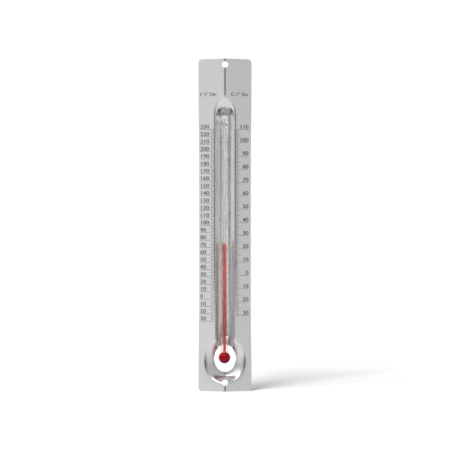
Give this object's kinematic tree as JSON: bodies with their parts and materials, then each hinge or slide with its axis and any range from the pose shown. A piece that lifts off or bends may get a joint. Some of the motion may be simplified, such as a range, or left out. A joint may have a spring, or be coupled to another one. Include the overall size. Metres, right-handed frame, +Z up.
{
  "type": "v_back_thermometer",
  "caption": "Red-spirit glass thermometer held in the pressed channel of a V-folded sheet-metal back with printed scales and a bulb window.",
  "frame": {"origin": "middle of the footprint, at the height of the back plate's lower edge", "axes": "+Z up along the tube, -Y towards the reader, +X to the reader's right"},
  "size_m": [0.0254, 0.0078, 0.1587],
  "materials": {
    "satin_aluminium": "satin",
    "clear_glass": "gloss",
    "red_spirit": "gloss",
    "clear_adhesive": "gloss",
    "dark_ink": "matte"
  },
  "bodies": {
    "thermometer": {"back_plate": "satin_aluminium", "glass_tube": "clear_glass", "spirit_reservoir": "red_spirit", "spirit_thread": "red_spirit", "upper_adhesive_bead": "clear_adhesive", "lower_adhesive_bead": "clear_adhesive", "fahrenheit_graduations": "dark_ink", "fahrenheit_numerals": "dark_ink", "fahrenheit_legend": "dark_ink", "celsius_graduations": "dark_ink", "celsius_numerals": "dark_ink", "celsius_legend": "dark_ink"},
    "column_end": {"spirit_meniscus": "red_spirit"}
  },
  "joints": [
    {"name": "column_rise", "type": "slide", "parent": "thermometer", "child": "column_end", "axis": [0, 0, 1], "range_m": [-0.03429, 0.05461], "deforming": ["spirit_thread"]}
  ]
}
